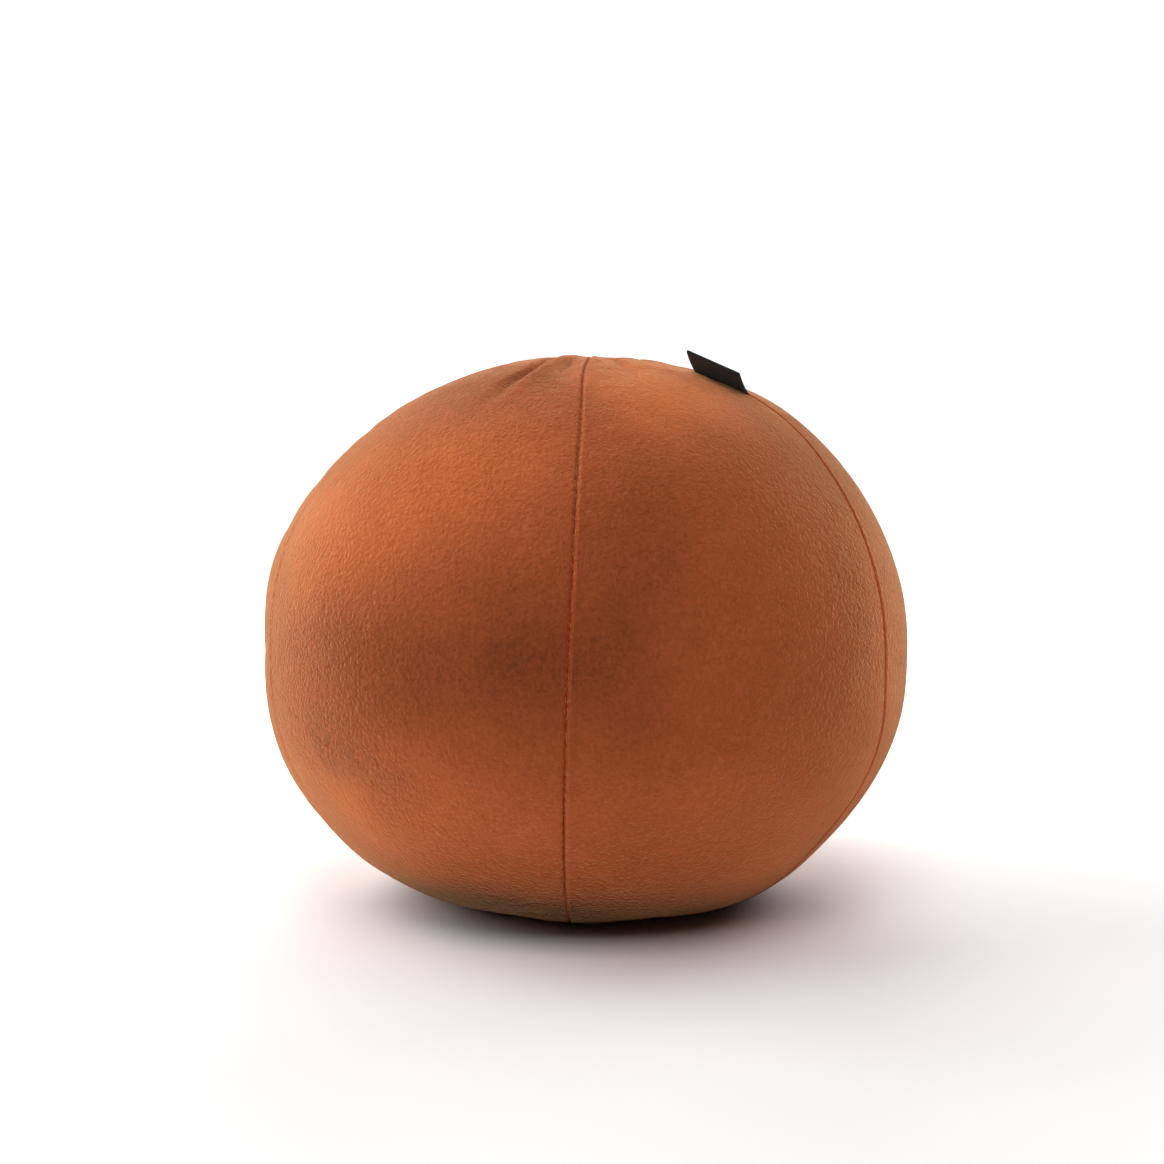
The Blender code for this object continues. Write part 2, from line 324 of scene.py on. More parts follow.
class BallSizes(bpy.types.PropertyGroup):
    """Sizes of the sewn ball."""

    panel_crown: FloatProperty(
        name="Panel crown", description="How far each panel stands out between its seams",
        default=0.0008, min=0.0, max=0.01, unit="LENGTH")
    seam_depth: FloatProperty(
        name="Seam depth", description="How far the cloth turns in at a seam",
        default=0.0008, min=0.0, max=0.01, unit="LENGTH")
    seam_half_width: FloatProperty(
        name="Seam half width", description="From the seam to where the cloth is level again",
        default=0.0018, min=0.0005, max=0.02, unit="LENGTH")
    fold_depth: FloatProperty(
        name="Fold depth", description="Depth of the narrow gap between two panels",
        default=0.0008, min=0.0, max=0.005, unit="LENGTH")
    fold_half_width: FloatProperty(
        name="Fold half width", description="Half the width of that gap",
        default=0.00034, min=0.0001, max=0.005, unit="LENGTH")
    allowance_lift: FloatProperty(
        name="Allowance lift", description="How far the seam allowance under one side lifts its edge",
        default=0.00040, min=0.0, max=0.003, unit="LENGTH")
    stitch_pitch: FloatProperty(
        name="Stitch pitch", description="Length of one stitch",
        default=0.00285, min=0.001, max=0.01, unit="LENGTH")
    pucker: FloatProperty(
        name="Pucker", description="How much deeper the cloth is pulled in at a stitch hole",
        default=0.00012, min=0.0, max=0.002, unit="LENGTH")
    pressure: FloatProperty(
        name="Filling pressure", description="How hard the filling presses the cloth out",
        default=4.0, min=0.0, max=50.0)
    spare_cloth: FloatProperty(
        name="Spare cloth", description="How much larger the panels are cut than the form they cover",
        default=0.012, min=0.0, max=0.1)
    wrinkle_limit: FloatProperty(
        name="Wrinkle limit", description="The furthest that a wrinkle may lift or sink the cloth",
        default=0.0003, min=0.0, max=0.01, unit="LENGTH")


class VelvetFinish(bpy.types.PropertyGroup):
    """Colours of the velvet, its seams and their thread."""

    rust: FloatVectorProperty(
        name="Rust", description="Colour of the pile seen straight on",
        subtype="COLOR", size=3, min=0.0, max=1.0, default=(0.412, 0.090, 0.026))
    # Also the colour that painted shade darkens towards
    pressed_and_painted_shade: FloatVectorProperty(
        name="Pressed pile", description="Colour that the pile darkens towards where it is pressed flat",
        subtype="COLOR", size=3, min=0.0, max=1.0, default=(0.060, 0.0125, 0.0040))
    # Also the colour that painted highlights lighten towards
    nap_and_painted_light: FloatVectorProperty(
        name="Brushed pile", description="Colour where the pile is brushed up and catches light",
        subtype="COLOR", size=3, min=0.0, max=1.0, default=(0.535, 0.121, 0.035))
    gap: FloatVectorProperty(
        name="Gap", description="Colour of the cloth inside a seam, where the pile parts",
        subtype="COLOR", size=3, min=0.0, max=1.0, default=(0.400, 0.045, 0.004))
    thread: FloatVectorProperty(
        name="Thread", description="Colour of the sewing thread",
        subtype="COLOR", size=3, min=0.0, max=1.0, default=(0.260, 0.036, 0.006))


class TabSizes(bpy.types.PropertyGroup):
    """Sizes and colour of the folded tab."""

    length_out: FloatProperty(
        name="Length out", description="From the seam to the folded edge",
        default=0.0196, min=0.005, max=0.06, unit="LENGTH")
    tape_thickness: FloatProperty(
        name="Tape thickness", description="Thickness of one layer of tape",
        default=0.00042, min=0.0001, max=0.002, unit="LENGTH")
    layer_gap: FloatProperty(
        name="Layer gap", description="Distance between the middles of the two layers",
        default=0.00078, min=0.0003, max=0.004, unit="LENGTH")
    black: FloatVectorProperty(
        name="Tape black", description="Colour of the woven tape",
        subtype="COLOR", size=3, min=0.0, max=1.0, default=(0.0085, 0.0095, 0.0115))


class StageSetup(bpy.types.PropertyGroup):
    """The camera and the light."""

    camera_place: FloatVectorProperty(
        name="Camera place", description="Where the camera stands",
        subtype="TRANSLATION", size=3, default=(-0.0015, -0.690, 0.1749))
    camera_pitch: FloatProperty(
        name="Camera pitch", description="How far the camera looks down",
        default=math.radians(2.4), subtype="ANGLE")
    lens: FloatProperty(
        name="Lens", description="Focal length on a 36 mm sensor, in millimetres",
        default=44.7, min=10.0, max=200.0)
    sweep_white: FloatVectorProperty(
        name="Sweep white", description="Colour of the floor and backdrop",
        subtype="COLOR", size=3, min=0.0, max=1.0, default=(0.86, 0.86, 0.855))
    wall_glow: FloatProperty(
        name="Wall glow", description="How brightly the backdrop is lit above the floor",
        default=0.70, min=0.0, max=10.0)


def put_mesh(name, points, faces, material):
    """A smooth-shaded object at the origin from points and quads or triangles."""
    mesh = bpy.data.meshes.new(name)
    mesh.from_pydata(points.reshape(-1, 3).tolist(), [], faces)
    mesh.shade_smooth()
    mesh.materials.append(material)
    piece = bpy.data.objects.new(name, mesh)
    bpy.context.scene.collection.objects.link(piece)
    return piece


def new_material(name):
    """An empty node material with its shader, and the helpers to add and join nodes."""
    material = bpy.data.materials.new(name)
    material.use_nodes = True
    tree = material.node_tree
    return material, tree, tree.nodes["Principled BSDF"]


def add_node(tree, kind, **settings):
    """A node of this kind with its settings and the values of its named sockets."""
    node = tree.nodes.new(kind)
    for key, value in settings.items():
        if key in node.inputs.keys():
            node.inputs[key].default_value = value
        else:
            setattr(node, key, value)
    return node


def noise_node(tree, vector, scale, detail, roughness, distortion=0.0):
    """Noise over these coordinates."""
    node = add_node(tree, "ShaderNodeTexNoise")
    node.inputs["Scale"].default_value = scale
    node.inputs["Detail"].default_value = detail
    node.inputs["Roughness"].default_value = roughness
    node.inputs["Distortion"].default_value = distortion
    tree.links.new(vector, node.inputs["Vector"])
    return node.outputs["Fac"]


def remap(tree, value, from_low, from_high, to_low, to_high):
    """A value moved from one range to another, and held inside it."""
    node = tree.nodes.new("ShaderNodeMapRange")
    node.inputs["From Min"].default_value = from_low
    node.inputs["From Max"].default_value = from_high
    node.inputs["To Min"].default_value = to_low
    node.inputs["To Max"].default_value = to_high
    tree.links.new(value, node.inputs["Value"])
    return node.outputs["Result"]


def combine(tree, operation, first, second):
    """Maths on two values, the second a socket or a number."""
    node = add_node(tree, "ShaderNodeMath", operation=operation)
    tree.links.new(first, node.inputs[0])
    if isinstance(second, (int, float)):
        node.inputs[1].default_value = second
    else:
        tree.links.new(second, node.inputs[1])
    return node.outputs[0]


def mix_towards(tree, colour, other, share):
    """A colour socket mixed towards a plain colour by a share."""
    mix = add_node(tree, "ShaderNodeMix", data_type="RGBA")
    tree.links.new(share, mix.inputs[0])
    tree.links.new(colour, mix.inputs[6])
    mix.inputs[7].default_value = (*other, 1.0)
    return mix.outputs[2]


def bump_node(tree, height, strength, distance, normal=None):
    """Bump from a height, on top of another bump where one is given."""
    node = add_node(tree, "ShaderNodeBump")
    node.inputs["Strength"].default_value = strength
    node.inputs["Distance"].default_value = distance
    tree.links.new(height, node.inputs["Height"])
    if normal is not None:
        tree.links.new(normal, node.inputs["Normal"])
    return node.outputs["Normal"]


def stretched(tree, vector, scale):
    """Coordinates stretched by a scale for each axis."""
    node = add_node(tree, "ShaderNodeMapping")
    node.inputs["Scale"].default_value = scale
    tree.links.new(vector, node.inputs["Vector"])
    return node.outputs["Vector"]


# The tone at which the colour is at its darkest, for pressed pile and painted shade alike
DARKEST_PRESS_AND_SHADE = 3.2


def velvet_material(finish):
    """Short-pile velvet: a rust base, lighter or darker where the pile is brushed and where light and shade
    are painted into the colour (painted shade in the creases and on the underside, painted highlights on the
    crease ridges and beside the seams), a fine mottle of tufts, a faint grain down each panel, scattered
    dark strokes and a soft sheen."""
    material, tree, shader = new_material("velvet")
    place = tree.nodes.new("ShaderNodeTexCoord").outputs["Object"]
    cloth = add_node(tree, "ShaderNodeUVMap", uv_map="cloth").outputs["UV"]
    nap_and_painted_light, marked, in_seam = (
        add_node(tree, "ShaderNodeAttribute", attribute_name=name).outputs["Fac"]
        for name in ("nap_and_painted_light", "marked", "in_seam")
    )
    patches = noise_node(tree, place, 24.0, 3.0, 0.55, 0.5)
    blotches = noise_node(tree, place, 130.0, 2.0, 0.6, 0.3)
    tufts = noise_node(tree, place, 640.0, 2.0, 0.65, 0.4)
    flecks = noise_node(tree, place, 270.0, 2.0, 0.6, 0.3)
    grain = noise_node(tree, stretched(tree, cloth, (1000.0, 170.0, 1.0)), 1.0, 2.0, 0.6)
    strokes = noise_node(tree, stretched(tree, cloth, (680.0, 320.0, 1.0)), 1.0, 2.0, 0.5, 1.2)
    dark_strokes = combine(tree, "MULTIPLY", remap(tree, strokes, 0.53, 0.62, 0.0, 1.0), marked)
    light = combine(tree, "MULTIPLY", nap_and_painted_light, remap(tree, patches, 0.35, 0.65, 0.8, 1.15))
    mottles = (
        (patches, 0.30, 0.70, 0.10),
        (blotches, 0.30, 0.70, 0.10),
        (tufts, 0.20, 0.80, 0.65),
        (grain, 0.25, 0.75, 0.14),
        (flecks, 0.25, 0.75, 0.12),
    )
    for noise, low, high, tone in mottles:
        light = combine(tree, "ADD", light, remap(tree, noise, low, high, -tone, tone))
    light = combine(tree, "SUBTRACT", light, dark_strokes)
    # The tone holds pile tone and painted light together: above 0 the colour goes towards the lighter colour
    # (painted highlight included), below 0 towards the darkest (painted shade included)
    raised = add_node(tree, "ShaderNodeMix", data_type="RGBA", clamp_factor=False)
    tree.links.new(combine(tree, "MAXIMUM", light, 0.0), raised.inputs[0])
    raised.inputs[6].default_value = (*finish.rust, 1.0)
    raised.inputs[7].default_value = (*finish.nap_and_painted_light, 1.0)
    sunk = remap(tree, light, 0.0, -DARKEST_PRESS_AND_SHADE, 0.0, 1.0)
    colour = mix_towards(tree, raised.outputs[2], finish.pressed_and_painted_shade, sunk)
    tree.links.new(mix_towards(tree, colour, finish.gap, in_seam), shader.inputs["Base Color"])
    tree.links.new(remap(tree, patches, 0.3, 0.7, 0.95, 0.80), shader.inputs["Roughness"])
    height = combine(tree, "ADD", tufts, combine(tree, "MULTIPLY", grain, 0.1))
    height = combine(tree, "ADD", height, combine(tree, "MULTIPLY", flecks, 0.5))
    height = combine(tree, "SUBTRACT", height, combine(tree, "MULTIPLY", dark_strokes, 0.5))
    pile = bump_node(tree, height, 0.8, 0.0015)
    soft = noise_node(tree, place, 70.0, 2.0, 0.5)
    tree.links.new(bump_node(tree, soft, 0.25, 0.0012, pile), shader.inputs["Normal"])
    shader.inputs["Sheen Weight"].default_value = 0.9
    shader.inputs["Sheen Roughness"].default_value = 0.34
    shader.inputs["Sheen Tint"].default_value = (1.0, 0.58, 0.28, 1.0)
    shader.inputs["Specular IOR Level"].default_value = 0.1
    return material


def column_shares():
    """Shares of a panel's width from 0 to 1: the columns by each seam, and even ones between."""
    near = np.array(COLUMNS_BY_SEAM) / WIDEST_PANEL
    between = np.linspace(near[-1], 1 - near[-1], COLUMNS_BETWEEN + 1)[1:-1]
    return np.concatenate([near, between, 1 - near[::-1]])


def ring_latitudes(pitch):
    """Even steps of arc, half a stitch each, above the flat spot, and wider ones across it."""
    step = np.degrees(pitch / RINGS_PER_STITCH / CREASE_ARC_RADIUS)
    above = np.arange(CONTACT_LATITUDE, LAST_LATITUDE, step)
    below = np.linspace(-88.0, CONTACT_LATITUDE, FLAT_RINGS, endpoint=False)
    return np.concatenate([below, above, [LAST_LATITUDE]])


def panel_places(name, following, rings, shares):
    """Azimuth of each ring and column of a panel, its width along each ring in metres, and the
    distance of each point from the nearer seam."""
    start = seam_azimuth(name, rings)
    width = (seam_azimuth(following, rings) - start) % 360
    across = np.radians(width) * HALF_WIDTH * np.cos(np.radians(rings))
    return start + width * shares, across, np.minimum(shares, 1 - shares) * across


def panel_pairs():
    """Each seam's name with the next one's, round the ball."""
    return zip(SEAM_NAMES, SEAM_NAMES[1:] + SEAM_NAMES[:1])


def hermite_weights(knots, at):
    """How much each knot's value counts at each place, so that one matrix product interpolates."""
    return np.stack([smooth_through(knots, row, at) for row in np.eye(len(knots))], axis=-1)


def pressed_lift(sizes):
    """Wrinkles that the filling presses into the panels: six panels cut a little large are held at
    their seams and swell under even pressure, and what rises above or sinks below the swelling
    smoothed along the seams is kept. One array of lifts for each panel, by coarse ring and column."""
    rings = np.linspace(COARSE_FROM, COARSE_TO, COARSE_RINGS)[:, None]
    shares = np.linspace(0.0, 1.0, COARSE_COLUMNS + 1)[None, :]
    panels = []
    for name, following in panel_pairs():
        azimuth, _, from_seam = panel_places(name, following, rings, shares)
        panels.append(settle(ball_reach(rings, azimuth, from_seam, shares, sizes), rings, azimuth)[:, :-1])
    grid = np.concatenate(panels, axis=1)
    index = np.arange(grid.shape[0] * grid.shape[1]).reshape(grid.shape[:2])
    beside = np.roll(index, -1, axis=1)
    quads = np.stack([index[:-1], beside[:-1], beside[1:], index[1:]], axis=-1).reshape(-1, 4)
    mesh = bpy.data.meshes.new("panels_to_press")
    mesh.from_pydata(grid.reshape(-1, 3).tolist(), [], quads.tolist())
    pad = bpy.data.objects.new("panels_to_press", mesh)
    bpy.context.scene.collection.objects.link(pad)
    held = pad.vertex_groups.new(name="held")
    seam_columns = index[:, ::COARSE_COLUMNS].ravel()
    ends = index[[0, -1]].ravel()
    held.add(np.concatenate([seam_columns, ends]).tolist(), 1.0, "REPLACE")
    press(pad, sizes)
    shape = pad.evaluated_get(bpy.context.evaluated_depsgraph_get()).to_mesh()
    swollen = np.empty(grid.size, dtype=np.float32)
    shape.vertices.foreach_get("co", swollen)
    bpy.data.objects.remove(pad)
    outward = grid - CENTRE
    outward = outward / np.linalg.norm(outward, axis=-1, keepdims=True)
    lift = ((swollen.reshape(grid.shape) - grid) * outward).sum(axis=-1)
    lift = lift - smoothed_up(lift)
    wrinkles = sizes.wrinkle_limit * np.tanh(lift / sizes.wrinkle_limit)
    wrinkles = np.concatenate([wrinkles, wrinkles[:, :1]], axis=1)
    starts = range(0, wrinkles.shape[1] - 1, COARSE_COLUMNS)
    return rings[:, 0], shares[0], [wrinkles[:, at : at + COARSE_COLUMNS + 1] for at in starts]


def smoothed_up(lift):
    """The lift averaged many times over with its neighbours above and below."""
    for _ in range(SMOOTHING_ROUNDS):
        padded = np.concatenate([lift[:1], lift, lift[-1:]])
        lift = lift / 2 + (padded[2:] + padded[:-2]) / 4
    return lift


def press(pad, sizes):
    """Blender's cloth, held at the seams, under the filling's pressure and without gravity."""
    cloth = pad.modifiers.new("press", "CLOTH")
    cloth.settings.quality = 6
    cloth.settings.mass = 0.25
    cloth.settings.tension_stiffness = 25.0
    cloth.settings.compression_stiffness = 25.0
    cloth.settings.shear_stiffness = 12.0
    cloth.settings.bending_stiffness = 0.6
    cloth.settings.shrink_min = -sizes.spare_cloth
    cloth.settings.vertex_group_mass = "held"
    cloth.settings.use_pressure = True
    cloth.settings.uniform_pressure_force = sizes.pressure
    cloth.settings.effector_weights.gravity = 0.0
    cloth.collision_settings.use_collision = False
    cloth.point_cache.frame_start = 1
    cloth.point_cache.frame_end = PRESSING_FRAMES
    for frame in range(1, PRESSING_FRAMES + 1):
        bpy.context.scene.frame_set(frame)


class CUSHION_OT_ball(bpy.types.Operator):
    """Builds the filled ball of six velvet panels, with their grooves, crown, creases and puckers"""

    bl_idname = "cushion.ball"
    bl_label = "Velvet ball"

    def execute(self, context):
        sizes = context.scene.cushion_ball
        points, faces, cloth, tone = ball_grid(sizes)
        ball = put_mesh("velvet_ball", points, faces, velvet_material(context.scene.cushion_velvet))
        layer = ball.data.uv_layers.new(name="cloth")
        layer.data.foreach_set("uv", cloth.astype(np.float32).ravel())
        for name, values in tone.items():
            attribute = ball.data.attributes.new(name, "FLOAT", "POINT")
            attribute.data.foreach_set("value", values.astype(np.float32))
        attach(ball, BODY)
        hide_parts("ball_cushion")
        return {"FINISHED"}


def ball_grid(sizes):
    """Points, faces, cloth coordinates of each face corner and, for each point, pile tone mixed with painted
    light and shade. Rings of latitude cross the six panels' columns, and each pole is closed by a fan."""
    rings = ring_latitudes(sizes.stitch_pitch)[:, None]
    shares = column_shares()[None, :]
    pull = np.where(np.arange(len(rings)) % RINGS_PER_STITCH == 0, 1.0, -1.0)[:, None]
    along = np.radians(rings) * CREASE_ARC_RADIUS
    lifts = [0.0] * len(SEAM_NAMES)
    coarse_rings, coarse_shares, wrinkles = pressed_lift(sizes)
    by_ring = hermite_weights(coarse_rings, rings[:, 0])
    by_column = hermite_weights(coarse_shares, shares[0])
    lifts = [by_ring @ wrinkle @ by_column.T for wrinkle in wrinkles]
    grids, azimuths, cloths, gaps, painted_highlights = [], [], [], [], []
    for (name, following), lift in zip(panel_pairs(), lifts):
        azimuth, across, from_seam = panel_places(name, following, rings, shares)
        reach = ball_reach(rings, azimuth, from_seam, shares, sizes) + lift
        pucker = sizes.pucker * pull * np.exp(-((from_seam / (0.5 * sizes.seam_half_width)) ** 2))
        reach = reach - pucker * np.clip(across / FULL_PUCKER_WIDTH, 0.0, 1.0)
        grids.append(settle(reach, rings, azimuth)[:, :-1])
        azimuths.append(azimuth[:, :-1])
        gaps.append(np.exp(-((from_seam[:, :-1] / SEAM_SHADE_WIDTH) ** 2)))
        # Painted highlight beside each seam, on the side whose edge the allowance lifts
        painted_highlight = SEAM_PAINTED_HIGHLIGHT * np.exp(-(((from_seam - PAINTED_HIGHLIGHT_FROM_SEAM) / PAINTED_HIGHLIGHT_WIDTH) ** 2)) * (shares < 0.5)
        painted_highlights.append((painted_highlight * smooth_through(*pull_by_latitude(), rings))[:, :-1])
        cloths.append(np.stack([(shares - 0.5) * across, np.broadcast_to(along, azimuth.shape)], axis=-1))
    grid = np.concatenate(grids, axis=1)
    azimuth = np.concatenate(azimuths, axis=1)
    latitude = np.broadcast_to(rings, azimuth.shape)
    ring_count, column_count = azimuth.shape
    index = np.arange(ring_count * column_count).reshape(ring_count, column_count)
    beside = np.roll(index, -1, axis=1)
    walls = np.stack([index[:-1], beside[:-1], beside[1:], index[1:]], axis=-1).reshape(-1, 4)
    south, north = index.size, index.size + 1
    fans = np.concatenate([
        np.stack([np.full(column_count, south), beside[0], index[0]], axis=-1),
        np.stack([np.full(column_count, north), index[-1], beside[-1]], axis=-1),
    ])
    corners = np.concatenate([
        np.stack([c[:-1, :-1], c[:-1, 1:], c[1:, 1:], c[1:, :-1]], axis=2) for c in cloths
    ], axis=1).reshape(-1, 2)
    fan_corners = np.tile(np.array([[0.0, 0.22]]), (fans.size, 1))
    poles = [grid[end].mean(axis=0) for end in (0, -1)]
    poles[0][2] = 0.0
    points = np.concatenate([grid.reshape(-1, 3), np.array(poles)])
    # Painted shade in the creases and folds, and painted highlight on their ridges
    in_crease = crease_sum(latitude, azimuth, CREASES, CREASE_SHADE, CREASE_SHEEN)
    in_fold = crease_sum(latitude, azimuth, FOLDS, FOLD_SHADE, FOLD_SHEEN)
    painted_highlight = np.concatenate(painted_highlights, axis=1)
    # Pile tone mixed with painted light: the patches with their painted shade, the painted shade and
    # highlight of creases and folds, and the painted highlight beside each seam
    pile = {
        "nap_and_painted_light": patch_sum(latitude, azimuth, NAP_AND_PAINTED_LIGHT_PATCHES) + in_crease + in_fold + painted_highlight,
        "marked": patch_sum(latitude, azimuth, MARKED_PATCHES),
        "in_seam": np.concatenate(gaps, axis=1),
    }
    pile = {name: np.concatenate([values.ravel(), [0.0, 0.0]]) for name, values in pile.items()}
    return points, walls.tolist() + fans.tolist(), np.concatenate([corners, fan_corners]), pile


# Painted shade and painted highlight: how much darker the colour is painted in a crease, and how much
# lighter on its ridge, for each metre of depth
CREASE_SHADE = 150.0
CREASE_SHEEN = 200.0
FOLD_SHADE = 500.0
FOLD_SHEEN = 500.0
SEAM_SHADE_WIDTH = 0.0008

# Painted highlight beside a seam, on the edge that its allowance lifts: how much lighter, how far from the
# seam and how wide
SEAM_PAINTED_HIGHLIGHT = 0.8
PAINTED_HIGHLIGHT_FROM_SEAM = 0.0013
PAINTED_HIGHLIGHT_WIDTH = 0.0006


# Where the pile lies the other way, together with painted light and shade: above 0 lighter, brushed-up pile
# and painted highlight, below 0 darker, pressed pile and painted shade. The last two rows are painted shade
# on the underside.
NAP_AND_PAINTED_LIGHT_PATCHES = (
    ("latitude", "azimuth", "tall", "wide", "tone"),
    (22, -48, 13, 16, 1.15),
    (31, -24, 13, 14, 1.00),
    (32, -60, 18, 12, 0.60),
    (2, -24, 10, 26, -1.10),
    (5, -5, 15, 13, -0.75),
    (20, 8, 14, 8, -0.75),
    (-23, -22, 10, 24, 1.05),
    (-26, -56, 14, 16, 1.10),
    (-28, -34, 8, 14, 0.40),
    (-24, 38, 14, 26, 1.15),
    (-38, 46, 12, 11, 1.20),
    (-2, 63, 26, 12, 1.70),
    (18, 36, 14, 15, 0.35),
    (49, 60, 7, 7, 0.60),
    (53, 21, 13, 14, 2.30),
    (68, 16, 8, 20, 1.00),
    (60, -38, 12, 20, -0.60),
    (40, -4, 8, 12, 0.30),
    (-2, 8, 9, 6, -0.40),
    (7, -19, 5, 8, 0.35),
    (24, 150, 14, 18, 0.80),
    (-4, 190, 12, 26, -0.60),
    (30, 226, 12, 16, 0.70),
    (-26, 118, 14, 22, 0.60),
    (-28, 250, 14, 20, 0.60),
    # Painted shade on the underside: all round, and deeper towards the front left
    (-51, 0, 8, 400, -1.60),
    (-46, -22, 7, 22, -2.60),
)

# Where short strokes of the pile stand out dark
MARKED_PATCHES = (
    ("latitude", "azimuth", "tall", "wide", "tone"),
    (-14, -43, 5, 7, 1.0),
    (-17.5, -31.5, 3, 4, 0.6),
    (-10, -47, 4, 4, 0.6),
)


def patch_sum(latitude, azimuth, table):
    """Sum of soft-edged patches: each a flat-topped bell, taller or wider as given, its edge waved
    by two slow sines so that no outline is an ellipse."""
    total = np.zeros(latitude.shape)
    for place_latitude, place_azimuth, tall, wide, tone in table_rows(table):
        up = (latitude - place_latitude) / tall
        turned = (azimuth - place_azimuth + 180) % 360 - 180
        side = turned * np.cos(np.radians(latitude)) / wide
        wave = 0.16 * np.sin(5.1 * side + 2.3 * up + place_azimuth) + 0.12 * np.sin(4.3 * up - 3.7 * side)
        total += tone * np.exp(-(((up**2 + side**2) * (1 + wave)) ** 1.35))
    return total


class CUSHION_OT_thread(bpy.types.Operator):
    """Builds the thread that shows in the gap of each seam, one short bar for each stitch"""

    bl_idname = "cushion.thread"
    bl_label = "Seam thread"

    def execute(self, context):
        sizes = context.scene.cushion_ball
        material = thread_material(context.scene.cushion_velvet)
        points, faces = thread_grid(sizes)
        thread = put_mesh("seam_thread", points, faces, material)
        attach(thread, BODY)
        return {"FINISHED"}


def thread_material(finish):
    """Spun thread: a dark rust, lighter and darker in a fine noise that also roughens it."""
    material, tree, shader = new_material("seam_thread")
    place = tree.nodes.new("ShaderNodeTexCoord").outputs["Object"]
    fuzz = noise_node(tree, place, 2400.0, 2.0, 0.6)
    mix = add_node(tree, "ShaderNodeMix", data_type="RGBA")
    tree.links.new(fuzz, mix.inputs[0])
    mix.inputs[6].default_value = (*(0.7 * value for value in finish.thread), 1.0)
    mix.inputs[7].default_value = (*(1.3 * value for value in finish.thread), 1.0)
    tree.links.new(mix.outputs[2], shader.inputs["Base Color"])
    tree.links.new(bump_node(tree, fuzz, 0.4, 0.0001), shader.inputs["Normal"])
    shader.inputs["Roughness"].default_value = 0.8
    shader.inputs["Specular IOR Level"].default_value = 0.2
    return material


THREAD_RADIUS = 0.00016
THREAD_SPAN = 0.0010
THREAD_SIDES = 6
THREAD_RINGS = (-1.0, -0.55, 0.0, 0.55, 1.0)


def thread_grid(sizes):
    """Each bar is a bent tube across the gap: a circle carried along a short arc whose ends dive
    into both panels. All bars are worked out at once, as stitch by ring by side."""
    step = np.degrees(sizes.stitch_pitch / CREASE_ARC_RADIUS)
    latitude = np.arange(CONTACT_LATITUDE + step / 2, 86.0, step)
    bars = []
    for name in SEAM_NAMES:
        azimuth = seam_azimuth(name, latitude)
        reach = ball_reach(latitude, azimuth, 0.0, 0.0, sizes)
        middle = settle(reach + THREAD_RADIUS * 0.6, latitude, azimuth)
        up, turn = np.radians(latitude), np.radians(azimuth)
        outward = np.stack([np.cos(up) * np.sin(turn), -np.cos(up) * np.cos(turn), np.sin(up)], axis=-1)
        sideways = np.stack([np.cos(turn), np.sin(turn), np.zeros_like(turn)], axis=-1)
        lengthways = np.cross(outward, sideways)
        t = np.array(THREAD_RINGS)[None, :, None, None]
        ring = np.linspace(0.0, 2 * np.pi, THREAD_SIDES, endpoint=False)[None, None, :, None]
        line = middle[:, None, None, :] + sideways[:, None, None, :] * t * THREAD_SPAN / 2
        line = line - outward[:, None, None, :] * t**2 * THREAD_RADIUS * 1.5
        radius = THREAD_RADIUS * np.sqrt(np.clip(1.02 - t**2, 0.0, 1.0))
        bars.append(
            line
            + radius * np.cos(ring) * outward[:, None, None, :]
            + radius * np.sin(ring) * lengthways[:, None, None, :]
        )
    bars = np.concatenate(bars)
    count, rings, sides = bars.shape[:3]
    index = np.arange(count * rings * sides).reshape(count, rings, sides)
    beside = np.roll(index, -1, axis=2)
    walls = np.stack([index[:, :-1], index[:, 1:], beside[:, 1:], beside[:, :-1]], axis=-1)
    ends = index[:, 0, ::-1].tolist() + index[:, -1].tolist()
    return bars, walls.reshape(-1, 4)[:, ::-1].tolist() + [list(reversed(end)) for end in ends]


# The tab's place on the right seam, and how it leans over the front right panel
TAB_FROM_LATITUDE = 55.5
TAB_TO_LATITUDE = 66.5
TAB_ROOT_LIFT = 0.0013
TAB_LEAN_AT_ROOT_DEG = 17
TAB_LEAN_AT_EDGE_DEG = 34
TAB_ROWS = 60
TAB_STEPS_OUT = 30
TAB_STEPS_ROUND = 8
TAB_BURIED = 0.0022
TAB_EDGE_LIFTS = (0.0004, 0.0008)
TAB_EDGE_SHIFT = 0.0012


class CUSHION_OT_tab(bpy.types.Operator):
    """Builds the tab: one length of woven tape, folded at its outer edge and caught in the right seam"""

    bl_idname = "cushion.tab"
    bl_label = "Folded tab"

    def execute(self, context):
        sizes = context.scene.cushion_tab
        points, cloth, width, length = tab_grid(sizes)
        rows, steps = points.shape[:2]
        index = np.arange(rows * steps).reshape(rows, steps)
        quads = np.stack([index[:-1, :-1], index[1:, :-1], index[1:, 1:], index[:-1, 1:]], axis=-1)
        tab = put_mesh("woven_tab", points, quads.reshape(-1, 4).tolist(), tape_material(sizes))
        corners = np.stack([cloth[:-1, :-1], cloth[1:, :-1], cloth[1:, 1:], cloth[:-1, 1:]], axis=2)
        layer = tab.data.uv_layers.new(name="cloth")
        layer.data.foreach_set("uv", corners.reshape(-1, 2).astype(np.float32).ravel())
        wall = tab.modifiers.new("thickness", "SOLIDIFY")
        wall.thickness = sizes.tape_thickness
        wall.offset = 0.0
        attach(tab, BODY)
        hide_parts("seam_tab")
        return {"FINISHED"}


